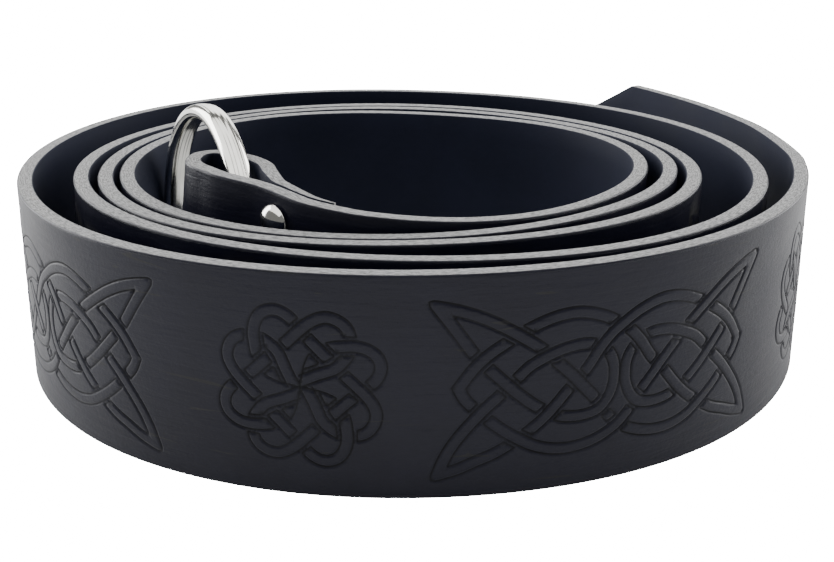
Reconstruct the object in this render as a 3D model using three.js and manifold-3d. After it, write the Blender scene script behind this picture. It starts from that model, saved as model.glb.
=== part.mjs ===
// A medieval ring belt: a leather strap coiled on its lower edge, with one end folded round a chrome
// ring and held by two domed rivets, and a tapered tail that leaves the coil at the back right.
// Millimetres, +Z up. The origin is at the middle of the belt's outline, on the surface that it lies on.

import * as THREE from 'three';
import { mergeVertices } from 'three/addons/utils/BufferGeometryUtils.js';
import Module from 'manifold-3d';

// The leather strap
const STRAP_WIDTH = 38;
const STRAP_THICKNESS = 3;
const EDGE_BEVEL = 0.5;

// The coil runs anticlockwise from the fold to the tail, seen from above. Each row is one turn, and its
// columns are the radii that the strap's middle tends to, smoothed along the coil, in these directions:
// left, front left, front, front right, right, back right, back, back left
const COIL_COLUMNS = 8;
const COIL = [
  [55.6, 51.1, 48.3, 41.4, 43.7, 41.7, 40.4, 56.7],
  [60.2, 59.4, 51.8, 46.9, 50.1, 43.5, 47.2, 59.5],
  [64.2, 64.1, 54.2, 54.7, 53.1, 47.4, 50.9, 62.9],
  [70.3, 66.2, 63.2, 67.0, 65.2, 65.5, 68.2, 83.2],
  [79.6, 77.0, 69.7, 70.9, 73.4, 86.9, 113.9, 121.6],
];
const COIL_FIRST_ANGLE = 180;
const COIL_CENTRE = { x: 2.05, y: -12.45 };
const COIL_START = 255;
const COIL_END = 1806;
const COIL_STEP = 6;

// The fold round the ring, from the cut end of the flap to the start of the coil, from the coil's centre
const LOOP = [
  { x: -15.6, y: -43.0 },
  { x: -18.9, y: -41.5 },
  { x: -21.4, y: -39.6 },
  { x: -24.1, y: -37.0 },
  { x: -26.2, y: -34.9 },
  { x: -27.4, y: -32.5 },
  { x: -28.8, y: -29.0 },
  { x: -30.1, y: -25.0 },
  { x: -33.1, y: -21.1 },
  { x: -36.8, y: -18.6 },
  { x: -40.3, y: -17.2 },
  { x: -42.5, y: -18.6 },
  { x: -43.3, y: -21.3 },
  { x: -43.2, y: -24.9 },
  { x: -41.7, y: -27.9 },
  { x: -39.8, y: -29.9 },
  { x: -37.6, y: -32.2 },
  { x: -34.9, y: -34.0 },
  { x: -32.3, y: -35.5 },
  { x: -29.6, y: -37.1 },
  { x: -26.4, y: -39.6 },
  { x: -23.5, y: -42.2 },
  { x: -20.8, y: -44.3 },
];

// The tail beyond the coil, from the coil's centre
const TAIL = [
  { x: 74.4, y: 28.2 },
  { x: 71.3, y: 41.0 },
  { x: 66.4, y: 54.6 },
  { x: 60.8, y: 66.4 },
  { x: 53.8, y: 78.2 },
  { x: 44.6, y: 88.4 },
  { x: 33.4, y: 96.4 },
];

// The tail tapers to a rounded tongue
const TONGUE_LENGTH = 28.5;
const TONGUE_TIP_WIDTH = 6;
const TONGUE_BLUNTNESS = 0.04;
const TONGUE_SECTIONS = [1, 0.8, 0.6, 0.4, 0.25, 0.13, 0.07, 0.03, 0];

// The folded end stands a little off the surface, because the ring's lower side is under it, and the
// fold spreads towards its lower edge to make room for the widest part of the ring
const FOLD_LIFT = 5.8;
const LIFT_LENGTH = 74;
const FOLD_SPREAD = 4.2;
const SPREAD_FULL = 12;
const SPREAD_END = 22;

// The flap is pared down from the full thickness to a thin end
const FLAP_END_THICKNESS = 1.2;
const PARED_LENGTH = 22;

// Spacing of the strap's sections, and the fineness with which its middle line is measured and searched
const LOOP_SPACING = 1.5;
const COIL_SPACING = 4.4;
const LENGTH_DIVISIONS = 6000;
const SEARCH_STEP = 0.1;

// The ring, upright in the fold and leaning a little
const RING_INNER_DIAMETER = 45;
const RING_THICKNESS = 3;
const RING_BREADTH = 4.8;
const RING_SQUARENESS = 0.8;
const RING_PLACE = { x: -43.32, y: -10.55 };
const RING_TURN = 26;
const RING_LEAN = -3;
const RING_SEGMENTS = 64;
const RING_SECTION_SEGMENTS = 12;

// The two rivets
const RIVET_FROM_MIDDLE = 13.9;
const RIVET_FROM_NOSE = 25.8;
const RIVET_CAP_DIAMETER = 6.2;
const RIVET_CAP_HEIGHT = 1.8;
const RIVET_POST_DIAMETER = 3;
const RIVET_HOLE_DIAMETER = 3.6;
const RIVET_GAP = 0.42;
const RIVET_SEGMENTS = 20;
const DOME_STEPS = [0, 0.25, 0.5, 0.75, 1];

const degrees = THREE.MathUtils.degToRad;

// Radius of the strap's middle at a winding angle, a smooth curve that the table's radii pull on
function coilRadius(angle) {
  const radii = COIL.flat();
  const place = (angle - COIL_FIRST_ANGLE) * COIL_COLUMNS / 360 - 1;
  const first = Math.floor(place);
  const part = place - first;
  const weights = [
    (1 - part) ** 3 / 6,
    (3 * part ** 3 - 6 * part ** 2 + 4) / 6,
    (-3 * part ** 3 + 3 * part ** 2 + 3 * part + 1) / 6,
    part ** 3 / 6,
  ];
  return weights.reduce((sum, weight, index) => sum + weight * radii[first + index], 0);
}

// The strap's middle line from the flap's cut end to the tail tip
function middleLine() {
  const points = LOOP.map(({ x, y }) => new THREE.Vector3(x, y, 0));
  for (let angle = COIL_START; angle <= COIL_END; angle += COIL_STEP) {
    const radius = coilRadius(angle);
    points.push(new THREE.Vector3(radius * Math.cos(degrees(angle)), radius * Math.sin(degrees(angle)), 0));
  }
  points.push(...TAIL.map(({ x, y }) => new THREE.Vector3(x, y, 0)));
  points.forEach((point) => point.add(new THREE.Vector3(COIL_CENTRE.x, COIL_CENTRE.y, 0)));
  const line = new THREE.CatmullRomCurve3(points, false, 'centripetal');
  line.arcLengthDivisions = LENGTH_DIVISIONS;
  return line;
}

const line = middleLine();
const lineLength = line.getLength();

// Distance along the strap at which the fold's nose lies, its point farthest to the left
function noseDistance() {
  let nose = 0;
  let leftmost = Infinity;
  for (let distance = 0; distance < LIFT_LENGTH; distance += SEARCH_STEP) {
    const point = line.getPointAt(distance / lineLength);
    if (point.x < leftmost) {
      leftmost = point.x;
      nose = distance;
    }
  }
  return nose;
}

const nose = noseDistance();
const nosePoint = line.getPointAt(nose / lineLength);

// Height of the strap's lower edge above the surface, which both layers of the fold share
function liftAt(distance) {
  if (distance > nose + 2 * LIFT_LENGTH) {
    return 0;
  }
  const away = line.getPointAt(distance / lineLength).distanceTo(nosePoint);
  return FOLD_LIFT * (1 - THREE.MathUtils.smoothstep(away, 0, LIFT_LENGTH));
}

// How far the lower edge stands out from under the upper edge, away from the inside of the fold
function spreadAt(distance) {
  const away = Math.abs(distance - nose);
  return FOLD_SPREAD * (1 - THREE.MathUtils.smoothstep(away, SPREAD_FULL, SPREAD_END));
}

function thicknessAt(distance) {
  const pared = THREE.MathUtils.smoothstep(distance, 0, PARED_LENGTH);
  return FLAP_END_THICKNESS + (STRAP_THICKNESS - FLAP_END_THICKNESS) * pared;
}

// Half of the strap's width, which falls along the tongue to its rounded tip
function halfWidthAt(distance) {
  const left = lineLength - distance;
  const full = STRAP_WIDTH / 2;
  const tip = TONGUE_TIP_WIDTH / 2;
  if (left >= TONGUE_LENGTH) {
    return full;
  }
  const straight = tip + (full - tip) * (left / TONGUE_LENGTH);
  const rounding = Math.sqrt(Math.min(1, left / tip + TONGUE_BLUNTNESS));
  return straight * rounding;
}

function sectionDistances() {
  const distances = [];
  const loopEnd = nose * 2;
  const loopSteps = Math.round(loopEnd / LOOP_SPACING);
  for (let step = 0; step < loopSteps; step += 1) {
    distances.push(loopEnd * step / loopSteps);
  }
  const coilSteps = Math.round((lineLength - TONGUE_LENGTH - loopEnd) / COIL_SPACING);
  for (let step = 0; step < coilSteps; step += 1) {
    distances.push(loopEnd + (lineLength - TONGUE_LENGTH - loopEnd) * step / coilSteps);
  }
  for (const share of TONGUE_SECTIONS) {
    distances.push(lineLength - TONGUE_LENGTH * share);
  }
  return distances;
}

// One cross-section of the strap, with narrow bevels on its cut edges, anticlockwise seen from ahead
function strapSection(distance) {
  const share = distance / lineLength;
  const centre = line.getPointAt(share);
  const ahead = line.getTangentAt(share);
  const outward = new THREE.Vector3(ahead.y, -ahead.x, 0).normalize();
  const half = halfWidthAt(distance);
  const inner = -STRAP_THICKNESS / 2;
  const outer = inner + thicknessAt(distance);
  const bevel = EDGE_BEVEL * thicknessAt(distance) / STRAP_THICKNESS;
  const middle = STRAP_WIDTH / 2 + liftAt(distance);
  const profile = [
    [outer, -half + bevel],
    [outer, half - bevel],
    [outer - bevel, half],
    [inner + bevel, half],
    [inner, half - bevel],
    [inner, -half + bevel],
    [inner + bevel, -half],
    [outer - bevel, -half],
  ];
  return profile.map(([across, up]) => {
    const aside = across + spreadAt(distance) * (STRAP_WIDTH / 2 - up) / STRAP_WIDTH;
    return new THREE.Vector3(centre.x + outward.x * aside, centre.y + outward.y * aside, middle + up);
  });
}

// A closed solid skinned over rings of points
function skin(sections) {
  const sides = sections[0].length;
  const positions = sections.flat().flatMap((point) => [point.x, point.y, point.z]);
  const faces = [];
  for (let row = 0; row < sections.length - 1; row += 1) {
    for (let side = 0; side < sides; side += 1) {
      const here = row * sides + side;
      const next = row * sides + (side + 1) % sides;
      faces.push(here, next + sides, next, here, here + sides, next + sides);
    }
  }
  const last = (sections.length - 1) * sides;
  for (let side = 1; side < sides - 1; side += 1) {
    faces.push(0, side, side + 1);
    faces.push(last, last + side + 1, last + side);
  }
  const geometry = new THREE.BufferGeometry();
  geometry.setAttribute('position', new THREE.Float32BufferAttribute(positions, 3));
  geometry.setIndex(faces);
  return geometry;
}

const wasm = await Module();
wasm.setup();

function toSolid(geometry) {
  const bare = geometry.index ? geometry.toNonIndexed() : geometry.clone();
  bare.deleteAttribute('normal');
  bare.deleteAttribute('uv');
  const merged = mergeVertices(bare, 1e-4);
  return new wasm.Manifold(new wasm.Mesh({
    numProp: 3,
    vertProperties: new Float32Array(merged.attributes.position.array),
    triVerts: new Uint32Array(merged.index.array),
  }));
}

function toGeometry(solid) {
  const mesh = solid.getMesh();
  const geometry = new THREE.BufferGeometry();
  geometry.setAttribute('position', new THREE.Float32BufferAttribute(mesh.vertProperties, 3));
  geometry.setIndex(Array.from(mesh.triVerts));
  geometry.computeVertexNormals();
  return geometry;
}

// Where a rivet stands: on the outer face of the front layer, pointing out of it
const rivetDistance = nose + RIVET_FROM_NOSE;
const rivetCentre = line.getPointAt(rivetDistance / lineLength);
const rivetAhead = line.getTangentAt(rivetDistance / lineLength);
const rivetOutward = new THREE.Vector3(rivetAhead.y, -rivetAhead.x, 0).normalize();
const rivetMiddle = liftAt(rivetDistance) + STRAP_WIDTH / 2;

// How far behind the front layer's middle line the flap's middle line lies, along the rivet
function flapDepth() {
  let depth = 0;
  let nearest = Infinity;
  for (let distance = 0; distance < nose; distance += SEARCH_STEP) {
    const offset = line.getPointAt(distance / lineLength).sub(rivetCentre);
    const aside = Math.abs(offset.dot(rivetAhead));
    if (aside < nearest) {
      nearest = aside;
      depth = -offset.dot(rivetOutward);
    }
  }
  return depth;
}

function rivetMatrix(height) {
  const turn = new THREE.Quaternion().setFromUnitVectors(new THREE.Vector3(0, 1, 0), rivetOutward);
  const place = new THREE.Vector3(rivetCentre.x, rivetCentre.y, rivetMiddle + height);
  return new THREE.Matrix4().compose(place, turn, new THREE.Vector3(1, 1, 1));
}

const rivetHeights = { rivet_upper: RIVET_FROM_MIDDLE, rivet_lower: -RIVET_FROM_MIDDLE };

function strapGeometry() {
  let solid = toSolid(skin(sectionDistances().map(strapSection)));
  for (const height of Object.values(rivetHeights)) {
    const hole = new THREE.CylinderGeometry(RIVET_HOLE_DIAMETER / 2, RIVET_HOLE_DIAMETER / 2,
      6 * STRAP_THICKNESS, RIVET_SEGMENTS);
    hole.applyMatrix4(rivetMatrix(height));
    solid = solid.subtract(toSolid(hole));
  }
  return toGeometry(solid);
}

// A post through both layers with a dome at each end, turned about its own axis
function rivetGeometry() {
  const post = RIVET_POST_DIAMETER / 2;
  const cap = RIVET_CAP_DIAMETER / 2;
  const front = STRAP_THICKNESS / 2 + RIVET_GAP;
  const back = -flapDepth() - STRAP_THICKNESS / 2 - RIVET_GAP;
  const dome = (seat, height) => DOME_STEPS.map((share) => new THREE.Vector2(
    cap * Math.cos(share * Math.PI / 2),
    seat + height * Math.sin(share * Math.PI / 2),
  ));
  const profile = [
    ...dome(back, -RIVET_CAP_HEIGHT).reverse(),
    new THREE.Vector2(post, back),
    new THREE.Vector2(post, front),
    ...dome(front, RIVET_CAP_HEIGHT),
  ];
  profile[0].x = 0;
  profile[profile.length - 1].x = 0;
  return new THREE.LatheGeometry(profile, RIVET_SEGMENTS);
}

// A flattened oval section carried round a circle about its own axis, the Y axis of the lathe
function ringGeometry() {
  const middle = (RING_INNER_DIAMETER + RING_THICKNESS) / 2;
  const profile = [];
  for (let step = 0; step <= RING_SECTION_SEGMENTS; step += 1) {
    const angle = -2 * Math.PI * step / RING_SECTION_SEGMENTS;
    const across = Math.sign(Math.cos(angle)) * Math.abs(Math.cos(angle)) ** RING_SQUARENESS;
    const along = Math.sign(Math.sin(angle)) * Math.abs(Math.sin(angle)) ** RING_SQUARENESS;
    profile.push(new THREE.Vector2(
      middle + across * RING_THICKNESS / 2,
      -along * RING_BREADTH / 2,
    ));
  }
  return new THREE.LatheGeometry(profile, RING_SEGMENTS);
}

function material(colour, roughness, metalness) {
  return new THREE.MeshStandardMaterial({ color: colour, roughness, metalness });
}

function tidy(geometry) {
  return toGeometry(toSolid(geometry));
}

const leather = material(0x1b1c20, 0.45, 0);
const chrome = material(0xd9dbde, 0.12, 1);
const belt = new THREE.Group();

const strap = new THREE.Mesh(strapGeometry(), leather);
strap.name = 'strap';
belt.add(strap);

const ring = new THREE.Mesh(tidy(ringGeometry()), chrome);
ring.name = 'ring';
ring.position.set(
  COIL_CENTRE.x + RING_PLACE.x,
  COIL_CENTRE.y + RING_PLACE.y,
  (RING_INNER_DIAMETER / 2 + RING_THICKNESS) * Math.cos(degrees(RING_LEAN)),
);
ring.rotation.set(0, degrees(-RING_LEAN), degrees(RING_TURN), 'ZYX');
ring.rotateZ(-Math.PI / 2);
belt.add(ring);

for (const [name, height] of Object.entries(rivetHeights)) {
  const rivet = new THREE.Mesh(tidy(rivetGeometry()), chrome);
  rivet.name = name;
  rivetMatrix(height).decompose(rivet.position, rivet.quaternion, rivet.scale);
  belt.add(rivet);
}

export default belt;
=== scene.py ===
import math

import bpy
import numpy as np
from mathutils import Matrix, Vector
from mathutils.geometry import delaunay_2d_cdt


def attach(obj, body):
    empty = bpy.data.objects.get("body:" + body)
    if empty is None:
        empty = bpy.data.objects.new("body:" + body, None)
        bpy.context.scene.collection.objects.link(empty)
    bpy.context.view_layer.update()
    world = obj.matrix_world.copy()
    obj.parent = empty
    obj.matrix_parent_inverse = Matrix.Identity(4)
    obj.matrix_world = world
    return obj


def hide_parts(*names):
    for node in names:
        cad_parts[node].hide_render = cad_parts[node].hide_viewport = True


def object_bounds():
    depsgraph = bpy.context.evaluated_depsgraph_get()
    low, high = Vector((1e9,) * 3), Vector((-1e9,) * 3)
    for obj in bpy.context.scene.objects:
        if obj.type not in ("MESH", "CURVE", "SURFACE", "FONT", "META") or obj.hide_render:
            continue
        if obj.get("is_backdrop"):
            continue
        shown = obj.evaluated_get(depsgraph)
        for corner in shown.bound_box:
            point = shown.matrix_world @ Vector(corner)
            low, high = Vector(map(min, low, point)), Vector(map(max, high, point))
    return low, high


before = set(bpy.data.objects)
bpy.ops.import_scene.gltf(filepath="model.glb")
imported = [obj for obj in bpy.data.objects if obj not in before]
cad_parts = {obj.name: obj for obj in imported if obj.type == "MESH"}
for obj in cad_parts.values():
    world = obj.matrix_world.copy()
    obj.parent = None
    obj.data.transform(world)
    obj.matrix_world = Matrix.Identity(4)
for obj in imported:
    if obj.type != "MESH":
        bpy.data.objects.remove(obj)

cad_box = [list(corner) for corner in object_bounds()]


# The camera
# The photograph looks down at the coiled belt from the front, with the fold and its ring on the left.

bpy.ops.object.camera_add(location=(0, -0.27214, 0.103), rotation=(math.radians(70.6), 0, 0))
camera = bpy.context.object
camera.name = "photo_camera"
camera.data.lens = 56.55
camera.data.clip_start = 0.01
bpy.context.scene.camera = camera


# The leather strap
# One strip of firm black leather, 38 mm wide and 3 mm thick, rolled up on its lower edge. Its outer face
# is pressed with large and small knots by turns. Its first end is pared thin and folded round the ring.

MM = 0.001
WIDTH = 38.0
THICKNESS = 3.0

# Each row is one turn of the coil and each column the radius, in mm, that the strap's middle tends to:
# left, front left, front, front right, right, back right, back, back left
coil_radii = np.array([
    [55.6, 51.1, 48.3, 41.4, 43.7, 41.7, 40.4, 56.7],
    [60.2, 59.4, 51.8, 46.9, 50.1, 43.5, 47.2, 59.5],
    [64.2, 64.1, 54.2, 54.7, 53.1, 47.4, 50.9, 62.9],
    [70.3, 66.2, 63.2, 67.0, 65.2, 65.5, 68.2, 83.2],
    [79.6, 77.0, 69.7, 70.9, 73.4, 86.9, 113.9, 121.6],
]).ravel()
coil_centre = np.array([2.05, -12.45])

# The fold, from the flap's cut end to the start of the coil, and the tail, from the coil's centre
fold_points = [
    (-15.6, -43.0), (-18.9, -41.5), (-21.4, -39.6), (-24.1, -37.0), (-26.2, -34.9), (-27.4, -32.5),
    (-28.8, -29.0), (-30.1, -25.0), (-33.1, -21.1), (-36.8, -18.6), (-40.3, -17.2), (-42.5, -18.6),
    (-43.3, -21.3), (-43.2, -24.9), (-41.7, -27.9), (-39.8, -29.9), (-37.6, -32.2), (-34.9, -34.0),
    (-32.3, -35.5), (-29.6, -37.1), (-26.4, -39.6), (-23.5, -42.2), (-20.8, -44.3),
]
tail_points = [
    (74.4, 28.2), (71.3, 41.0), (66.4, 54.6), (60.8, 66.4), (53.8, 78.2), (44.6, 88.4), (33.4, 96.4),
]
TONGUE = 28.5
TONGUE_TIP = 3.0

# The flap is pared thin towards its cut end, and feathered over its last few millimetres
PARED_LENGTH, PARED_THICKNESS = 22, 1.2
FEATHER_LENGTH, FEATHER_DEPTH = 7, 0.6

# The fold is raised at its nose, from where the strap eases down, and its lower part is spread outwards
FOLD_LIFT, LIFT_REACH = 5.8, 74
FOLD_SPREAD, SPREAD_HOLD, SPREAD_REACH = 4.2, 12, 22


def coil_points(first=255, last=1806, step=6):
    points = []
    for angle in range(first, last + 1, step):
        place = (angle - 180) / 45 - 1
        start = math.floor(place)
        part = place - start
        weights = [
            (1 - part) ** 3 / 6,
            (3 * part ** 3 - 6 * part ** 2 + 4) / 6,
            (-3 * part ** 3 + 3 * part ** 2 + 3 * part + 1) / 6,
            part ** 3 / 6,
        ]
        radius = float(np.dot(weights, coil_radii[start:start + 4]))
        turn = math.radians(angle)
        points.append((radius * math.cos(turn), radius * math.sin(turn)))
    return points


def smooth_line(points, steps):
    """A smooth line through points, which keeps close to them where they are near each other."""
    points = np.array(points, float)
    ends = np.array([2 * points[0] - points[1], 2 * points[-1] - points[-2]])
    points = np.vstack([ends[:1], points, ends[1:]])
    line = []
    for before, start, end, after in zip(points, points[1:], points[2:], points[3:]):
        gaps = [max(np.linalg.norm(b - a), 1e-9) ** 0.5
                for a, b in ((before, start), (start, end), (end, after))]
        first = (start - before) / gaps[0] - (end - before) / (gaps[0] + gaps[1]) + (end - start) / gaps[1]
        last = (end - start) / gaps[1] - (after - start) / (gaps[1] + gaps[2]) + (after - end) / gaps[2]
        first, last = first * gaps[1], last * gaps[1]
        t = np.arange(steps)[:, None] / steps
        line.append(
            start + first * t + (3 * (end - start) - 2 * first - last) * t ** 2
            + (2 * (start - end) + first + last) * t ** 3
        )
    return np.vstack(line + [points[-2:-1]])


def lengths_along(line):
    return np.concatenate([[0], np.cumsum(np.linalg.norm(np.diff(line, axis=0), axis=1))])


middle = smooth_line(fold_points + coil_points() + tail_points, 24) + coil_centre
along = lengths_along(middle)
strap_length = along[-1]
fold_nose = along[:1000][middle[:1000, 0].argmin()]


def smooth_step(value, low, high):
    t = np.clip((value - low) / (high - low), 0, 1)
    return t * t * (3 - 2 * t)


def at(distance):
    """Place on the strap's middle line, and the direction out of its outer face."""
    place = np.stack([np.interp(distance, along, middle[:, axis]) for axis in (0, 1)], -1)
    reach = 0.4  # half the stretch that the direction is taken over
    ahead = np.stack([
        np.interp(distance + reach, along, middle[:, axis])
        - np.interp(distance - reach, along, middle[:, axis]) for axis in (0, 1)
    ], -1)
    ahead /= np.linalg.norm(ahead, axis=-1, keepdims=True)
    return place, np.stack([ahead[..., 1], -ahead[..., 0]], -1)


def leather_thickness(distance):
    pared = PARED_THICKNESS + (THICKNESS - PARED_THICKNESS) * smooth_step(distance, 0, PARED_LENGTH)
    return pared - FEATHER_DEPTH * (1 - smooth_step(distance, 0, FEATHER_LENGTH))


def half_width(distance):
    left = np.clip(strap_length - distance, 0, None)
    narrow = TONGUE_TIP + (WIDTH / 2 - TONGUE_TIP) * left / TONGUE
    narrow = narrow * np.sqrt(np.minimum(1, left / TONGUE_TIP + 0.04))
    return np.where(left >= TONGUE, WIDTH / 2, narrow)


def on_strap(distance, across, up):
    """Point at a distance along the strap, out from its middle and up from its centre line, in metres."""
    distance, across, up = np.broadcast_arrays(*(np.asarray(x, float) for x in (distance, across, up)))
    place, outward = at(distance)
    nose, _ = at(np.array(fold_nose))
    away = np.linalg.norm(place - nose, axis=-1)
    near = distance <= fold_nose + 2 * LIFT_REACH
    lift = np.where(near, FOLD_LIFT * (1 - smooth_step(away, 0, LIFT_REACH)), 0)
    spread = FOLD_SPREAD * (1 - smooth_step(np.abs(distance - fold_nose), SPREAD_HOLD, SPREAD_REACH))
    aside = across + spread * (WIDTH / 2 - up) / WIDTH
    flat = place + outward * aside[..., None]
    return np.concatenate([flat, (WIDTH / 2 + lift + up)[..., None]], -1) * MM


# A knot's bands lie between two pressed lines, BAND to either side of their middle, and are a little
# crowned. A band that runs under another stops short of it, with a line across its end. Lengths in mm.
BAND = 0.97
STOP = 0.6
GROOVE_DEPTH = 0.3
GROOVE_WIDTH = 0.15
BAND_CROWN = 0.05
TIP_ROUNDING = 0.8

# A band has a point at every LINE_STEP. A crossing is found within CROSSING_REACH of its listed place, and
# its two bands are compared over so many steps either way. An edge that ends near a corner is led to it.
LINE_STEP = 0.12
CROSSING_REACH = 1.4
CROSSING_STEPS = 45
CORNER_REACH = 3.2
CORNER_STEPS = 30


def mirrored(points):
    return [(-x, y) for x, y in points]


def turned(points, quarter_turns):
    for _ in range(quarter_turns):
        points = [(y, -x) for x, y in points]
    return points


# The large knot: two ropes, each the mirror of the other. Each runs from a left tip across to the side
# corner on the right, back to the lower left tip, and through the left ring.
rope_across = [
    (-30.2, 13.8), (-27.8, 13.3), (-24.7, 12.35), (-21.5, 10.9), (-18.3, 9.0), (-13.8, 5.9), (-11.4, 3.6),
    (-9.0, 1.25), (-6.6, -1.4), (-4.2, -4.1), (-2.3, -6.8), (0.0, -9.1), (2.9, -10.75), (5.5, -11.6),
    (8.5, -12.0), (11.5, -11.8), (14.5, -10.9), (17.0, -9.5), (19.5, -7.8), (22.2, -5.6), (24.5, -3.4),
    (26.0, -1.7), (26.9, 0.1),
]
rope_back = [
    (26.9, 0.1), (24.5, 3.4), (22.0, 5.7), (19.0, 7.65), (15.5, 9.6), (11.5, 11.0), (7.5, 11.3),
    (3.3, 10.1), (0.0, 8.2), (-1.8, 6.9), (-3.9, 4.6), (-5.4, 2.4), (-7.0, 0.4), (-9.05, -1.6),
    (-11.0, -3.9), (-13.2, -6.2), (-15.8, -8.3), (-18.7, -10.2), (-21.0, -11.5), (-24.0, -12.7),
    (-27.1, -14.0), (-30.2, -14.9),
]
rope_ring = [
    (-30.2, -14.9), (-28.9, -11.7), (-27.3, -9.0), (-25.0, -6.1), (-22.5, -3.4), (-20.1, -1.2),
    (-17.5, 1.3), (-15.7, 3.0), (-13.5, 4.2), (-11.0, 5.2), (-8.5, 5.75), (-6.0, 5.8), (-3.6, 5.0),
    (-2.0, 3.5), (-1.2, 1.7), (-1.05, 0.0), (-1.2, -2.0), (-2.2, -4.4), (-3.7, -5.9), (-5.8, -6.5),
    (-8.6, -6.5), (-11.0, -5.9), (-14.2, -4.1), (-17.4, -1.5), (-20.0, 1.0), (-22.5, 3.5), (-24.5, 5.75),
    (-26.4, 8.5), (-28.2, 11.1), (-30.2, 13.8),
]
large_ropes = [
    [rope_across, rope_back, rope_ring],
    [mirrored(rope_across), mirrored(rope_back), mirrored(rope_ring)],
]

# Where a band of the large knot's left half runs under another, with the direction of the one above
large_unders = [
    (-18.4, 9.0, -32), (-23.6, 4.6, 42), (-13.0, 5.0, 30), (-18.7, -0.2, -43), (-23.4, -4.4, 48),
    (-17.3, -9.3, -33), (-12.4, -5.2, 46), (-7.7, -0.3, -48), (-3.6, 4.8, 52), (-3.1, -5.4, 40),
]
large_middle = [(0.0, 8.2, 32), (0.0, -9.1, 33)]
large_unders = large_unders + [(-x, y, -angle) for x, y, angle in large_unders] + large_middle

# The small knot: one rope, four times by quarter turns, from the middle round two lobes and back
small_rope = [
    (0.0, 0.95), (-1.3, 1.15), (-3.0, 1.5), (-4.8, 2.2), (-6.2, 3.4), (-6.9, 5.0), (-7.2, 6.8), (-7.3, 8.6),
    (-6.9, 10.5), (-5.7, 12.1), (-3.8, 12.7), (-2.0, 12.1), (-0.6, 10.8), (1.25, 8.5), (3.2, 6.4),
    (4.95, 4.6), (6.6, 2.8), (8.0, 1.4), (9.7, -0.3), (11.2, -2.2), (11.9, -4.2), (11.5, -6.0),
    (10.4, -7.4), (8.9, -8.0), (7.5, -8.1), (6.2, -7.8), (4.7, -6.9), (3.4, -5.6), (2.7, -4.0),
    (2.1, -2.5), (1.4, -1.1), (0.95, 0.0),
]
small_ropes = [[turned(small_rope, quarters) for quarters in range(4)]]
small_unders = []
for quarters in range(4):
    for x, y, angle in [(-6.3, 3.4, 45), (0.0, 10.1, 45), (5.8, 3.7, 38), (7.4, -8.1, 88), (-2.1, 1.3, 112)]:
        (x, y), = turned([(x, y)], quarters)
        small_unders.append((x, y, angle - 90 * quarters))


def distance_to(points, line_starts, line_ends):
    """Smallest distance from each point to a set of straight segments."""
    found = np.full(len(points), 1e9)
    run = line_ends - line_starts
    square = np.maximum((run ** 2).sum(1), 1e-12)
    for first in range(0, len(points), 400):
        some = points[first:first + 400, None, :]
        share = np.clip(((some - line_starts) * run).sum(2) / square, 0, 1)
        nearest = line_starts + run * share[..., None]
        found[first:first + 400] = np.linalg.norm(some - nearest, axis=2).min(1)
    return found


def even_line(line, spacing):
    length = lengths_along(line)
    count = max(1, round(length[-1] / spacing))
    even = np.linspace(0, length[-1], count + 1)
    return np.stack([np.interp(even, length, line[:, axis]) for axis in (0, 1)], -1)


def normals_of(line):
    ahead = np.gradient(line, axis=0)
    ahead /= np.linalg.norm(ahead, axis=1, keepdims=True)
    return np.stack([-ahead[:, 1], ahead[:, 0]], -1)


def shown_runs(line, shown):
    places = np.where(shown)[0]
    groups = np.split(places, np.where(np.diff(places) > 1)[0] + 1)
    return [line[group] for group in groups if len(group) > 2]


def lead_to_corner(run, base, reach):
    """Leads the end of an edge to the corner that it shares with the next edge. A sharp tip is rounded."""
    corner = base + reach
    length = np.linalg.norm(reach)
    inner = np.linalg.norm(run[0] - corner) < np.linalg.norm(run[0] - base)
    if inner or length < 1.5 * BAND:
        return np.vstack([run, [corner]])
    run = run[np.linalg.norm(run - corner, axis=1) > TIP_ROUNDING]
    foot = base + reach * ((run[-1] - base) @ reach) / length ** 2
    twin = 2 * foot - run[-1]
    curve = [
        (1 - t) ** 2 * run[-1] + 2 * t * (1 - t) * corner + t ** 2 * twin
        for t in (0.12, 0.25, 0.37, 0.5)
    ]
    return np.vstack([run, curve])


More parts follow.
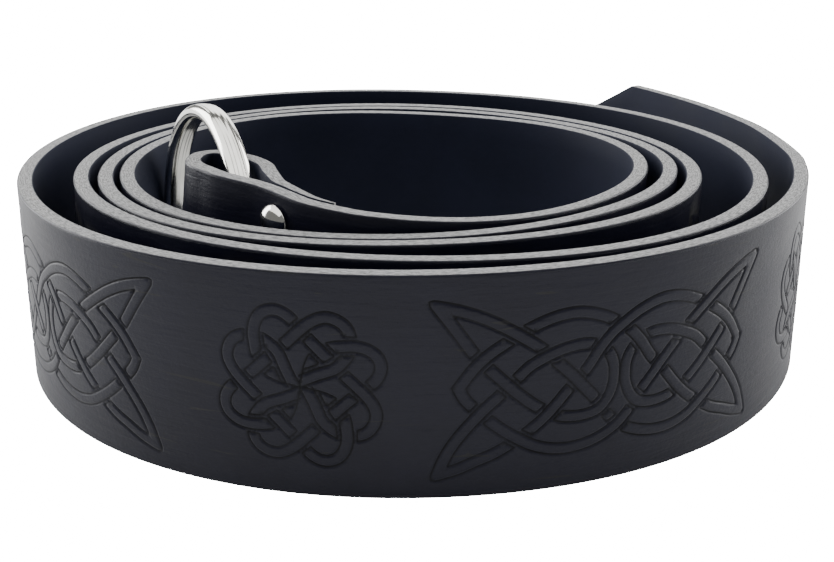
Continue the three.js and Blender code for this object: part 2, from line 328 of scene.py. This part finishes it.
def knot_lines(ropes, unders):
    """The pressed lines of a knot, as polylines, and the middle lines of its visible bands."""
    bands = []
    for number, pieces in enumerate(ropes):
        for order, points in enumerate(pieces):
            line = even_line(smooth_line(points, 12), LINE_STEP)
            bands.append({"rope": number, "order": order, "line": line, "normal": normals_of(line),
                          "shown": {side: np.ones(len(line), bool) for side in (-1, 0, 1)}})
    lines = []

    # Where one band runs under another, it stops on both sides of it and is closed by a short line
    for x, y, angle in unders:
        upper_way = np.array([math.cos(math.radians(angle)), math.sin(math.radians(angle))])
        passing = []
        for band in bands:
            away = np.linalg.norm(band["line"] - (x, y), axis=1)
            near = np.where(away < CROSSING_REACH)[0]
            for group in np.split(near, np.where(np.diff(near) > 1)[0] + 1):
                if len(group):
                    nearest = group[away[group].argmin()]
                    passing.append((abs(band["normal"][nearest] @ upper_way), nearest, band))
        passing.sort(key=lambda found: found[0])
        _, nearest, upper = passing[0]
        upper = upper["line"][max(0, nearest - CROSSING_STEPS):nearest + CROSSING_STEPS + 1]
        _, nearest, lower = passing[-1]
        first = max(0, nearest - CROSSING_STEPS)
        last = min(len(lower["line"]), nearest + CROSSING_STEPS + 1)
        ends = {}
        for side, shown in lower["shown"].items():
            edge = lower["line"] + side * BAND * lower["normal"]
            clear = distance_to(edge[first:last], upper[:-1], upper[1:]) > BAND + STOP
            shown[first:last] &= clear
            open_before = np.where(shown[first:nearest])[0]
            open_after = np.where(shown[nearest:last])[0]
            ends[side] = (
                edge[first + open_before[-1]] if len(open_before) else None,
                edge[nearest + open_after[0]] if len(open_after) else None,
            )
        for left, right in zip(ends[1], ends[-1]):
            if left is not None and right is not None:
                lines.append(np.array([left, right]))

    # Where two pieces of a rope meet at a corner, their edges are cut back or led on to the same point
    for band in bands:
        mates = [other for other in bands if other["rope"] == band["rope"]]
        following = next(o for o in mates if o["order"] == (band["order"] + 1) % len(mates))
        preceding = next(o for o in mates if o["order"] == (band["order"] - 1) % len(mates))
        corners = {}
        for place, mate, mate_place in ((-1, following, 0), (0, preceding, -1)):
            own, other = band["normal"][place], mate["normal"][mate_place]
            corners[place] = BAND * (own + other) / (1 + own @ other)
            close = np.linalg.norm(band["line"] - band["line"][place], axis=1) < 5
            near_mate = mate["line"][np.linalg.norm(mate["line"] - band["line"][place], axis=1) < 6]
            for side in (-1, 1):
                edge = band["line"] + side * BAND * band["normal"]
                inside = distance_to(edge, near_mate[:-1], near_mate[1:]) < BAND - 0.02
                band["shown"][side] &= ~(close & inside)
        for side in (-1, 1):
            edge = band["line"] + side * BAND * band["normal"]
            for run in shown_runs(edge, band["shown"][side]):
                start, end = band["line"][0], band["line"][-1]
                shown = band["shown"][side]
                if np.linalg.norm(run[0] - start) < CORNER_REACH and shown[:CORNER_STEPS].any():
                    run = lead_to_corner(run[::-1], start, side * corners[0])[::-1]
                if np.linalg.norm(run[-1] - end) < CORNER_REACH and shown[-CORNER_STEPS:].any():
                    run = lead_to_corner(run, end, side * corners[-1])
                lines.append(run)
    middles = [run for band in bands for run in shown_runs(band["line"], band["shown"][0])]
    return lines, middles


def thinned(points, spacing, kept=()):
    """Points no closer to each other, or to those kept already, than a spacing."""
    cells = {}

    def crowded(point):
        column, row = int(point[0] // spacing), int(point[1] // spacing)
        for i in (-1, 0, 1):
            for j in (-1, 0, 1):
                for other in cells.get((column + i, row + j), ()):
                    if math.hypot(point[0] - other[0], point[1] - other[1]) < spacing:
                        return True
        cells.setdefault((column, row), []).append(point)
        return False

    for point in kept:
        crowded(point)
    return [point for point in points if not crowded(point)]


# The outer face ends a little short of the cut edges, where the rounded corner begins. The spacing of a
# panel's points, in mm, is along its pressed lines and its bands' middles, along its border, beside the
# lines, and over the open ground, and none are closer than the least.
FACE_MARGIN = 0.5
FACE_EDGE = WIDTH / 2 - FACE_MARGIN
ROWS = np.linspace(-FACE_EDGE, FACE_EDGE, 21)
FINE = {"line": 0.75, "middle": 1.1, "border": 1.9, "beside": (0.24, 0.55), "ground": 2.1, "least": 0.18}
COARSE = {"line": 1.3, "middle": 1.8, "border": 2.6, "beside": (0.33,), "ground": 3.0, "least": 0.4}
ROW_PITCH, BORDER_CLEAR, LINE_CLEAR = 0.85, 0.6, 0.55


def knot_panel(ropes, unders, low, high, spacing):
    """A flat stretch of the outer face with a knot in it.

    Gives its points, their heights, how deep each is pressed, its triangles and its border's columns.
    """
    lines, middles = knot_lines(ropes, unders)
    lines = [even_line(line, spacing["line"]) for line in lines]
    middles = [even_line(line, spacing["middle"]) for line in middles]
    starts = np.vstack([line[:-1] for line in lines])
    ends = np.vstack([line[1:] for line in lines])
    middle_starts = np.vstack([line[:-1] for line in middles])
    middle_ends = np.vstack([line[1:] for line in middles])
    columns = np.linspace(low, high, round((high - low) / spacing["border"]) + 1)
    border = [(column, row) for column in columns for row in (ROWS[0], ROWS[-1])]
    border += [(column, row) for row in ROWS[1:-1] for column in (low, high)]
    points, edges = list(border), []
    for line in lines:
        first = len(points)
        points += [tuple(point) for point in line]
        edges += [(first + step, first + step + 1) for step in range(len(line) - 1)]
    extra = []
    for offset in spacing["beside"]:
        beside = np.vstack([line + side * offset * normals_of(line) for line in lines for side in (-1, 1)])
        extra.append(beside[distance_to(beside, starts, ends) > 0.85 * offset])
    along_middle = np.vstack(middles)
    extra.append(along_middle[distance_to(along_middle, starts, ends) > 0.5])
    step = spacing["ground"]
    grid = np.array([
        (low + step * (column + 0.5 * (row % 2)), row * step * ROW_PITCH)
        for column in range(1, int((high - low) / step)) for row in range(-20, 21)
        if abs(row * step * ROW_PITCH) < FACE_EDGE - BORDER_CLEAR * step
    ])
    grid = grid[grid[:, 0] < high - BORDER_CLEAR * step]
    extra.append(grid[distance_to(grid, starts, ends) > LINE_CLEAR * step])
    loose = thinned([tuple(point) for point in np.vstack(extra)], spacing["least"], points)
    made = delaunay_2d_cdt([Vector(point) for point in points + loose], edges, [], 0, 1e-5, False)
    flat = np.array([tuple(point) for point in made[0]])
    # The press bit a little less deep in places
    uneven = 0.84 + 0.16 * np.sin(0.33 * flat[:, 0] + 1.4 * np.sin(0.27 * flat[:, 1]))
    deep = uneven * np.exp(-(distance_to(flat, starts, ends) / GROOVE_WIDTH) ** 2)
    across = np.minimum(distance_to(flat, middle_starts, middle_ends) / BAND, 1)
    height = BAND_CROWN * (1 - across ** 2) - GROOVE_DEPTH * deep
    return flat, height, deep, [tuple(face) for face in made[2]], columns


# The strap's outer face: plain at both ends, and between them panels with the two knots by turns. One
# pair is placed by its middles' distances along the strap, and the others repeat it both ways. The
# panels on the outermost turn are finer than those between the layers.
LARGE_MIDDLE = 1598.1
LARGE_HALF = 33.5
SMALL_MIDDLE = 1546.6
SMALL_BEFORE, SMALL_AFTER = 23.3, 18.0
REPEAT = 108.3
FIRST_REPEAT, LAST_REPEAT = -13, 1
OUTER_TURN = 1290
knots = {
    (name, fine): knot_panel(ropes, unders, low, high, FINE if fine else COARSE)
    for name, ropes, unders, low, high in (
        ("large", large_ropes, large_unders, -LARGE_HALF, LARGE_HALF),
        ("small", small_ropes, small_unders, -SMALL_BEFORE, SMALL_AFTER),
    )
    for fine in (True, False)
}

OUTSIDE, INSIDE, CUT_EDGE = range(3)
NARROW = 6  # half width below which the tail's corners shrink with it
strap_points, strap_marks, strap_pressed, strap_faces, strap_paint = [], [], [], [], []
shared_points = {}
stations = []


def to_micron(length):
    """A length in mm to the nearest micron, so that points on a shared border are told to be the same."""
    return round(float(length), 3)


def add_point(distance, up, across, mark, shared, pressed=0.0):
    """Adds one point of the strap and gives its number. Points on a border are shared with the next panel."""
    key = (to_micron(distance), to_micron(up), to_micron(across))
    if shared and key in shared_points:
        return shared_points[key]
    strap_points.append((distance, across, up))
    strap_marks.append(mark)
    strap_pressed.append(pressed)
    if shared:
        shared_points[key] = len(strap_points) - 1
    return len(strap_points) - 1


def outer_across(distance):
    return float(leather_thickness(distance)) - THICKNESS / 2


def border_height(distance):
    """Height of the outer face's border above the strap's centre line, just inside the rounded corner."""
    half = float(half_width(distance))
    return half - FACE_MARGIN * min(1, half / NARROW)


def outer_column(distance):
    share = border_height(distance) / ROWS[-1]
    return [add_point(distance, row * share, outer_across(distance), (distance, row), True) for row in ROWS]


def add_knot(name, centre, fine):
    flat, height, deep, faces, columns = knots[name, fine]
    numbers = []
    for (u, up), rise, pressed in zip(flat, height, deep):
        to_side = min(abs(abs(up) - FACE_EDGE), abs(u - columns[0]), abs(u - columns[-1]))
        edge = to_side < 1e-4
        if edge:
            u, rise, pressed = columns[abs(columns - u).argmin()], 0, 0
        distance = centre + u
        across = outer_across(distance) + rise
        numbers.append(add_point(distance, up, across, (distance, up), edge, pressed))
    for face in faces:
        strap_faces.append([numbers[corner] for corner in face])
        strap_paint.append(OUTSIDE)
    stations.extend(to_micron(centre + column) for column in columns)


def add_plain(distances):
    """Plain leather between stations, with as many rows as a knot's panel has at its ends."""
    distances = [to_micron(distance) for distance in distances]
    columns = [outer_column(distance) for distance in distances]
    for left, right in zip(columns, columns[1:]):
        for row in range(len(ROWS) - 1):
            strap_faces.append([left[row], right[row], right[row + 1], left[row + 1]])
            strap_paint.append(OUTSIDE)
    stations.extend(distances)


first_knot = SMALL_MIDDLE + FIRST_REPEAT * REPEAT - SMALL_BEFORE
last_knot = LARGE_MIDDLE + LAST_REPEAT * REPEAT + LARGE_HALF
tongue_shares = (0.85, 0.7, 0.55, 0.4, 0.28, 0.18, 0.1, 0.06, 0.03, 0.01, 0)
add_plain(list(np.linspace(0, 95, 80)) + list(np.linspace(95, first_knot, 12))[1:])
for repeat in range(FIRST_REPEAT, LAST_REPEAT + 1):
    small, large = SMALL_MIDDLE + repeat * REPEAT, LARGE_MIDDLE + repeat * REPEAT
    add_knot("small", small, small > OUTER_TURN)
    add_knot("large", large, large > OUTER_TURN)
add_plain(
    list(np.linspace(last_knot, strap_length - TONGUE, 12))
    + [strap_length - TONGUE * share for share in tongue_shares]
)

# The rest of the section, from the outer face's upper border round to its lower one: the corners, which
# are slightly rounded and dyed with the faces, the pale cut edges, and the inner face
ROUND = 0.22
corner_turns = [math.radians(turn) for turn in (0, 45, 90)]
rings = []
for distance in sorted(set(stations)):
    half, border = float(half_width(distance)), border_height(distance)
    inner, outer = -THICKNESS / 2, outer_across(distance)
    radius = ROUND * min(1, (outer - inner) / THICKNESS, half / NARROW)
    upper = [(outer - radius * (1 - math.cos(turn)), half - radius * (1 - math.sin(turn)))
             for turn in corner_turns]
    upper += [(outer + (inner - outer) * share, half) for share in (0.35, 0.65)]
    upper += [(inner + radius * (1 - math.cos(turn)), half - radius * (1 - math.sin(turn)))
              for turn in reversed(corner_turns)]
    back = [(inner, (half - radius) * share) for share in (0.75, 0.4, 0, -0.4, -0.75)]
    lower = [(across, -up) for across, up in reversed(upper)]
    numbers = [add_point(distance, border, outer, (distance, border), True)]
    for across, up in upper + back + lower:
        numbers.append(add_point(distance, up, across, (distance, up + 3 * across), False))
    numbers.append(add_point(distance, -border, outer, (distance, -border), True))
    rings.append(numbers)
edge_paint = [OUTSIDE] * 3 + [CUT_EDGE] * 3 + [INSIDE] * 2
paint = edge_paint + [INSIDE] * 6 + edge_paint[::-1]
for left, right in zip(rings, rings[1:]):
    for step in range(len(left) - 1):
        strap_faces.append([left[step], right[step], right[step + 1], left[step + 1]])
        strap_paint.append(paint[step])
strap_faces.append(rings[0] + outer_column(0)[1:-1])
strap_faces.append((rings[-1] + outer_column(to_micron(strap_length))[1:-1])[::-1])
strap_paint += [CUT_EDGE, CUT_EDGE]

# The UV map holds the distance along the strap and the height across it, in units of 10 cm
MARK_SCALE = 0.01
places = on_strap(*np.array(strap_points).T)
strap_mesh = bpy.data.meshes.new("strap_leather")
strap_mesh.from_pydata([tuple(place) for place in places], [], strap_faces)
strap_mesh.polygons.foreach_set("material_index", strap_paint)
strap_mesh.polygons.foreach_set("use_smooth", [True] * len(strap_faces))
corner_points = np.zeros(len(strap_mesh.loops), int)
strap_mesh.loops.foreach_get("vertex_index", corner_points)
marks = (np.array(strap_marks) * MARK_SCALE).astype(np.float32)[corner_points]
strap_mesh.uv_layers.new(name="along_strap").data.foreach_set("uv", marks.ravel())
strap_mesh.attributes.new("pressed", "FLOAT", "POINT").data.foreach_set("value", strap_pressed)
strap = bpy.data.objects.new("strap_leather", strap_mesh)
bpy.context.collection.objects.link(strap)


def new_group(name, inputs, outputs):
    """An empty node group with float or vector sockets, and its input and output nodes."""
    group = bpy.data.node_groups.new(name, "ShaderNodeTree")
    for label, kind in inputs:
        group.interface.new_socket(label, in_out="INPUT", socket_type=kind)
    for label, kind in outputs:
        group.interface.new_socket(label, in_out="OUTPUT", socket_type=kind)
    return group, group.nodes.new("NodeGroupInput"), group.nodes.new("NodeGroupOutput")


def add_node(tree, kind, settings=(), **values):
    """A node with its settings and the values of its named inputs, whose names have _ for a space."""
    node = tree.nodes.new("ShaderNode" + kind)
    for name, value in settings:
        setattr(node, name, value)
    for name, value in values.items():
        node.inputs[name.replace("_", " ")].default_value = value
    return node


def ramp(tree, source, stops):
    """A smooth ramp of greys or colours fed by a value."""
    node = add_node(tree, "ValToRGB")
    node.color_ramp.interpolation = "EASE"
    while len(node.color_ramp.elements) < len(stops):
        node.color_ramp.elements.new(0.5)
    for element, (place, colour) in zip(node.color_ramp.elements, stops):
        element.position = place
        element.color = (*colour, 1) if isinstance(colour, tuple) else (colour, colour, colour, 1)
    tree.links.new(source, node.inputs["Fac"])
    return node.outputs["Color"]


# Grain of the hide: fine pores, long shallow wrinkles along the strap, and large uneven patches
grain, grain_in, grain_out = new_group(
    "hide_grain",
    (("Place", "NodeSocketVector"), ("Pores", "NodeSocketFloat"), ("Wrinkles", "NodeSocketFloat")),
    (("Height", "NodeSocketFloat"), ("Patches", "NodeSocketFloat"), ("Scuffs", "NodeSocketFloat")),
)
pores = add_node(grain, "TexVoronoi", (("feature", "SMOOTH_F1"),), Scale=150.0, Smoothness=0.6)
fine = add_node(grain, "TexNoise", Scale=420.0, Detail=3.0, Roughness=0.6)
stretch = add_node(grain, "Mapping", Scale=(9.0, 75.0, 1.0))
wrinkles = add_node(grain, "TexNoise", Scale=1.0, Detail=4.0, Roughness=0.62, Distortion=0.5)
patches = add_node(grain, "TexNoise", Scale=5.0, Detail=3.0, Roughness=0.55)
scuff_way = add_node(grain, "Mapping", Rotation=(0.0, 0.0, 0.6), Scale=(6.0, 60.0, 1.0))
scuffs = add_node(grain, "TexNoise", Scale=1.0, Detail=2.0, Roughness=0.5, Distortion=1.2)
for node in (pores, fine, stretch, patches, scuff_way):
    grain.links.new(grain_in.outputs["Place"], node.inputs["Vector"])
grain.links.new(stretch.outputs["Vector"], wrinkles.inputs["Vector"])
grain.links.new(scuff_way.outputs["Vector"], scuffs.inputs["Vector"])
pore_height = add_node(grain, "Math", (("operation", "MULTIPLY"),))
grain.links.new(pores.outputs["Distance"], pore_height.inputs[0])
grain.links.new(grain_in.outputs["Pores"], pore_height.inputs[1])
wrinkle_height = add_node(grain, "Math", (("operation", "MULTIPLY_ADD"),))
grain.links.new(wrinkles.outputs["Fac"], wrinkle_height.inputs[0])
grain.links.new(grain_in.outputs["Wrinkles"], wrinkle_height.inputs[1])
grain.links.new(pore_height.outputs[0], wrinkle_height.inputs[2])
full_height = add_node(grain, "Math", (("operation", "MULTIPLY_ADD"),))
full_height.inputs[1].default_value = 0.35
grain.links.new(fine.outputs["Fac"], full_height.inputs[0])
grain.links.new(wrinkle_height.outputs[0], full_height.inputs[2])
grain.links.new(full_height.outputs[0], grain_out.inputs["Height"])
grain.links.new(patches.outputs["Fac"], grain_out.inputs["Patches"])
grain.links.new(ramp(grain, scuffs.outputs["Fac"], ((0.69, 0), (0.73, 1))), grain_out.inputs["Scuffs"])


def new_material(name):
    made = bpy.data.materials.new(name)
    made.use_nodes = True
    return made, made.node_tree, made.node_tree.nodes["Principled BSDF"]


def leather_material(name, low, high, roughness, pores, wrinkles, depth):
    """Dyed hide between two colours, in patches, a little duller where it is paler."""
    made, tree, shader = new_material(name)
    place = add_node(tree, "UVMap", (("uv_map", "along_strap"),))
    hide = tree.nodes.new("ShaderNodeGroup")
    hide.node_tree = grain
    hide.inputs["Pores"].default_value = pores
    hide.inputs["Wrinkles"].default_value = wrinkles
    tree.links.new(place.outputs["UV"], hide.inputs["Place"])
    colour = ramp(tree, hide.outputs["Patches"], ((0.3, low), (0.7, high)))
    dull = ramp(tree, hide.outputs["Patches"], ((0.3, roughness - 0.035), (0.7, roughness + 0.035)))
    bump = add_node(tree, "Bump", Strength=1.0, Distance=depth)
    tree.links.new(hide.outputs["Height"], bump.inputs["Height"])
    tree.links.new(bump.outputs["Normal"], shader.inputs["Normal"])
    return made, tree, shader, hide, colour, dull


# The black outer face: the pressed lines are painted darker, as painted shade in the grooves, and are duller;
# fine scuffs are paler
outside, tree, shader, hide, colour, dull = leather_material(
    "black_leather", low=(0.004, 0.0042, 0.0112), high=(0.007, 0.0074, 0.0158),
    roughness=0.37, pores=0.3, wrinkles=1.9, depth=0.00006,
)
shader.inputs["Specular IOR Level"].default_value = 0.25
pressed = add_node(tree, "Attribute", (("attribute_name", "pressed"),))
# Painted shade: near black mixed into the colour by how deep each point is pressed
groove_painted_shade = add_node(tree, "Mix", (("data_type", "RGBA"),))
groove_painted_shade.inputs["B"].default_value = (0.0015, 0.0015, 0.002, 1)
tree.links.new(pressed.outputs["Fac"], groove_painted_shade.inputs["Factor"])
tree.links.new(colour, groove_painted_shade.inputs["A"])
scuffed = add_node(tree, "Mix", (("data_type", "RGBA"),))
scuffed.inputs["B"].default_value = (0.011, 0.011, 0.013, 1)
tree.links.new(hide.outputs["Scuffs"], scuffed.inputs["Factor"])
tree.links.new(groove_painted_shade.outputs["Result"], scuffed.inputs["A"])
tree.links.new(scuffed.outputs["Result"], shader.inputs["Base Color"])
rough = add_node(tree, "Math", (("operation", "MULTIPLY_ADD"),))
rough.inputs[1].default_value = 0.35
tree.links.new(pressed.outputs["Fac"], rough.inputs[0])
tree.links.new(dull, rough.inputs[2])
tree.links.new(rough.outputs[0], shader.inputs["Roughness"])

inside, tree, shader, _, colour, dull = leather_material(
    "navy_black_flesh_side", low=(0.005, 0.0068, 0.0168), high=(0.0068, 0.0088, 0.021),
    roughness=0.68, pores=0.2, wrinkles=0.5, depth=0.00003,
)
shader.inputs["Specular IOR Level"].default_value = 0.15
tree.links.new(colour, shader.inputs["Base Color"])
tree.links.new(dull, shader.inputs["Roughness"])

# The cut edges: pale grey fibres that lie along the strap, with dark specks
cut_edge, tree, shader = new_material("cut_leather_edge")
place = add_node(tree, "UVMap", (("uv_map", "along_strap"),))
lay = add_node(tree, "Mapping", Scale=(70.0, 170.0, 1.0))
fibres = add_node(tree, "TexNoise", Scale=1.0, Detail=3.0, Roughness=0.6)
specks = add_node(tree, "TexNoise", Scale=110.0, Detail=2.0)
tree.links.new(place.outputs["UV"], lay.inputs["Vector"])
tree.links.new(lay.outputs["Vector"], fibres.inputs["Vector"])
tree.links.new(place.outputs["UV"], specks.inputs["Vector"])
pale = ramp(tree, fibres.outputs["Fac"], ((0.4, (0.11, 0.11, 0.113)), (0.6, (0.31, 0.31, 0.306))))
dark = ramp(tree, specks.outputs["Fac"], ((0.3, (0.25, 0.25, 0.25)), (0.42, (1.0, 1.0, 1.0))))
tone = add_node(tree, "Mix", (("data_type", "RGBA"), ("blend_type", "MULTIPLY")), Factor=1.0)
tree.links.new(pale, tone.inputs["A"])
tree.links.new(dark, tone.inputs["B"])
tree.links.new(tone.outputs["Result"], shader.inputs["Base Color"])
shader.inputs["Roughness"].default_value = 0.75
bump = add_node(tree, "Bump", Strength=1.0, Distance=0.00008)
tree.links.new(fibres.outputs["Fac"], bump.inputs["Height"])
tree.links.new(bump.outputs["Normal"], shader.inputs["Normal"])
for material in (outside, inside, cut_edge):
    strap_mesh.materials.append(material)
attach(strap, "belt")
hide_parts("strap")


# The ring
# A cast steel ring, chrome plated and polished, 45 mm inside. Its outer face keeps a few fine grooves
# from polishing. It stands upright in the fold and leans a little.

bpy.ops.object.select_all(action="DESELECT")
bpy.ops.mesh.primitive_circle_add(vertices=72, radius=1)
ring = bpy.context.object
ring.name = "chrome_ring"
ring_middle, ring_half_thickness, ring_half_breadth = 24.0, 1.5, 2.4
grooves = (-1.15, -0.5, 0.35, 0.95)
groove_width, groove_depth = 0.12, 0.08
squareness = 0.8
for vertex in ring.data.vertices:
    out, along_axis = vertex.co.x, vertex.co.y
    out = math.copysign(abs(out) ** squareness, out) * ring_half_thickness
    along_axis = math.copysign(abs(along_axis) ** squareness, along_axis) * ring_half_breadth
    groove = max(math.exp(-((along_axis - place) / groove_width) ** 2) for place in grooves)
    if out > 0:
        out -= groove_depth * groove
    vertex.co = Vector((ring_middle + out, 0, along_axis)) * MM
bpy.ops.object.mode_set(mode="EDIT")
bpy.ops.mesh.select_all(action="SELECT")
bpy.ops.mesh.spin(steps=160, angle=2 * math.pi, center=(0, 0, 0), axis=(0, 0, 1))
bpy.ops.mesh.select_all(action="SELECT")
bpy.ops.mesh.remove_doubles(threshold=0.00001)
bpy.ops.mesh.normals_make_consistent(inside=False)
bpy.ops.object.mode_set(mode="OBJECT")
ring_axis = Vector((0.897562, 0.43777, -0.052336))
turn = Vector((0, 0, 1)).rotation_difference(ring_axis)
ring_centre = Vector((-41.27, -23.0, 25.465)) * MM
ring.data.transform(Matrix.LocRotScale(ring_centre, turn, None))
bpy.ops.object.shade_smooth()


def chrome_material(name):
    """Polished chrome with faint smears: the material, its parts, its place and its smeared colour."""
    made, tree, shader = new_material(name)
    place = add_node(tree, "TexCoord")
    smears = add_node(tree, "TexNoise", Scale=130.0, Detail=3.0, Roughness=0.6)
    tree.links.new(place.outputs["Object"], smears.inputs["Vector"])
    tree.links.new(ramp(tree, smears.outputs["Fac"], ((0.35, 0.1), (0.7, 0.2))), shader.inputs["Roughness"])
    colour = ramp(tree, smears.outputs["Fac"], ((0.3, (0.82, 0.81, 0.75)), (0.7, (0.94, 0.93, 0.88))))
    tree.links.new(colour, shader.inputs["Base Color"])
    shader.inputs["Metallic"].default_value = 1.0
    bump = add_node(tree, "Bump", Strength=0.4, Distance=0.00002)
    tree.links.new(smears.outputs["Fac"], bump.inputs["Height"])
    tree.links.new(bump.outputs["Normal"], shader.inputs["Normal"])
    return made, tree, shader, place, colour


# The grooves are darker in colour, in streaks: they are found by their place along the ring's axis
ring_chrome, tree, shader, place, colour = chrome_material("polished_chrome_grooved")
along_axis = add_node(tree, "VectorMath", (("operation", "DOT_PRODUCT"),))
along_axis.inputs[1].default_value = ring_axis
tree.links.new(place.outputs["Object"], along_axis.inputs[0])
breadth = add_node(tree, "MapRange")
ring_place = ring_axis.dot(ring_centre)
breadth.inputs["From Min"].default_value = ring_place - ring_half_breadth * MM
breadth.inputs["From Max"].default_value = ring_place + ring_half_breadth * MM
tree.links.new(along_axis.outputs["Value"], breadth.inputs["Value"])
streak_half = 0.035
stops = [(0.0, 0.0)]
for groove in grooves:
    groove_place = 0.5 + 0.5 * groove / ring_half_breadth
    stops += [(groove_place - streak_half, 0.0), (groove_place, 1.0), (groove_place + streak_half, 0.0)]
in_groove = ramp(tree, breadth.outputs["Result"], stops)
streaks = add_node(tree, "TexNoise", Scale=90.0, Detail=1.0)
tree.links.new(place.outputs["Object"], streaks.inputs["Vector"])
groove_streaks = add_node(tree, "Math", (("operation", "MULTIPLY"),))
tree.links.new(in_groove, groove_streaks.inputs[0])
tree.links.new(ramp(tree, streaks.outputs["Fac"], ((0.38, 0.1), (0.6, 0.85))), groove_streaks.inputs[1])
darker_in_grooves = add_node(tree, "Mix", (("data_type", "RGBA"),))
darker_in_grooves.inputs["B"].default_value = (0.11, 0.11, 0.1, 1)
tree.links.new(groove_streaks.outputs[0], darker_in_grooves.inputs["Factor"])
tree.links.new(colour, darker_in_grooves.inputs["A"])
tree.links.new(darker_in_grooves.outputs["Result"], shader.inputs["Base Color"])
ring.data.materials.append(ring_chrome)
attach(ring, "ring")
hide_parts("ring")


# The rivets
# Two double-capped steel rivets, chrome plated, pressed together through both layers of the fold. Each
# has a smooth dome on both sides and a post between them.

rivet_chrome = chrome_material("polished_chrome")[0]
rivet_foot = Vector((-23.539, -52.761, 23.275))
rivet_out = Vector((-0.672248, -0.740326, 0))
cap_radius, cap_height, post_radius = 3.1, 1.8, 1.5
front_seat, back_seat = 1.92, -5.321
for name, height in (("rivet_upper", 13.9), ("rivet_lower", -13.9)):
    bpy.ops.object.select_all(action="DESELECT")
    bpy.ops.mesh.primitive_uv_sphere_add(segments=48, ring_count=32, radius=cap_radius * MM)
    rivet = bpy.context.object
    rivet.name = "chrome_" + name
    bpy.ops.object.mode_set(mode="EDIT")
    bpy.ops.mesh.select_all(action="SELECT")
    bpy.ops.mesh.bisect(plane_co=(0, 0, 0), plane_no=(0, 0, 1), clear_inner=True)
    bpy.ops.mesh.select_all(action="SELECT")
    bpy.ops.transform.resize(value=(1, 1, cap_height / cap_radius), center_override=(0, 0, 0))
    bpy.ops.transform.translate(value=(0, 0, (front_seat - back_seat) / 2 * MM))
    bpy.ops.mesh.select_all(action="DESELECT")
    bpy.ops.mesh.select_non_manifold()
    bpy.ops.mesh.extrude_region_move()
    bpy.ops.transform.resize(value=(post_radius / cap_radius, post_radius / cap_radius, 1),
                             center_override=(0, 0, (front_seat - back_seat) / 2 * MM))
    bpy.ops.mesh.extrude_region_move(
        TRANSFORM_OT_translate={"value": (0, 0, (back_seat - front_seat) / 2 * MM)})
    bpy.ops.object.mode_set(mode="OBJECT")
    mirror = rivet.modifiers.new("other_cap", "MIRROR")
    mirror.use_axis = (False, False, True)
    mirror.merge_threshold = 0.00001
    bevel = rivet.modifiers.new("soft_rim", "BEVEL")
    bevel.width = 0.00018
    bevel.segments = 3
    bevel.limit_method = "ANGLE"
    bevel.angle_limit = math.radians(40)
    for modifier in ("other_cap", "soft_rim"):
        bpy.ops.object.modifier_apply(modifier=modifier)
    bpy.ops.object.mode_set(mode="EDIT")
    bpy.ops.mesh.select_all(action="SELECT")
    bpy.ops.mesh.normals_make_consistent(inside=False)
    bpy.ops.object.mode_set(mode="OBJECT")
    centre = rivet_foot + Vector((0, 0, height)) + rivet_out * (front_seat + back_seat) / 2
    turn = Vector((0, 0, 1)).rotation_difference(rivet_out)
    rivet.data.transform(Matrix.LocRotScale(centre * MM, turn, None))
    bpy.ops.object.shade_smooth()
    rivet.data.materials.append(rivet_chrome)
    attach(rivet, "belt")
    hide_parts(name)


# The floor and the light
# A plain white table, lit by a large soft lamp overhead, one on each side, and a weak one behind. The
# camera sees the table burnt out to white, as in the photograph, but the belt reflects it as it is.

bpy.ops.mesh.primitive_plane_add(size=6, location=(0, 0, -0.0002))
floor = bpy.context.object
floor.name = "floor"
white, tree, shader = new_material("white_table")
shader.inputs["Base Color"].default_value = (0.8, 0.8, 0.8, 1)
shader.inputs["Roughness"].default_value = 0.9
burnt_out = add_node(tree, "Emission", Strength=25.0)
seen = add_node(tree, "LightPath")
only_seen = add_node(tree, "MixShader")
both = add_node(tree, "AddShader")
tree.links.new(seen.outputs["Is Camera Ray"], only_seen.inputs["Fac"])
tree.links.new(burnt_out.outputs[0], only_seen.inputs[2])
tree.links.new(shader.outputs[0], both.inputs[0])
tree.links.new(only_seen.outputs[0], both.inputs[1])
tree.links.new(both.outputs[0], tree.nodes["Material Output"].inputs["Surface"])
floor.data.materials.append(white)
floor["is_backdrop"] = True

belt_middle = Vector((0, 0, 0.03))
for name, place, size, power in (
    ("lamp_overhead", (-0.1, -0.1, 0.9), 1.6, 15.0),
    ("lamp_left", (-0.88, 0.48, 0.46), 0.9, 19.0),
    ("lamp_right", (0.88, 0.48, 0.44), 0.9, 16.0),
    ("lamp_behind", (0.0, 1.3, 0.45), 0.8, 5.0),
):
    bpy.ops.object.light_add(type="AREA", location=place)
    lamp = bpy.context.object
    lamp.name = name
    lamp.data.size = size
    lamp.data.energy = power
    lamp.rotation_euler = (belt_middle - Vector(place)).to_track_quat("-Z", "Y").to_euler()

world = bpy.data.worlds.new("soft_sky")
bpy.context.scene.world = world
world.use_nodes = True
world.node_tree.nodes["Background"].inputs["Color"].default_value = (1, 1, 1, 1)
world.node_tree.nodes["Background"].inputs["Strength"].default_value = 0.2

size = {"cad": cad_box, "visual": [list(corner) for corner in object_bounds()]}
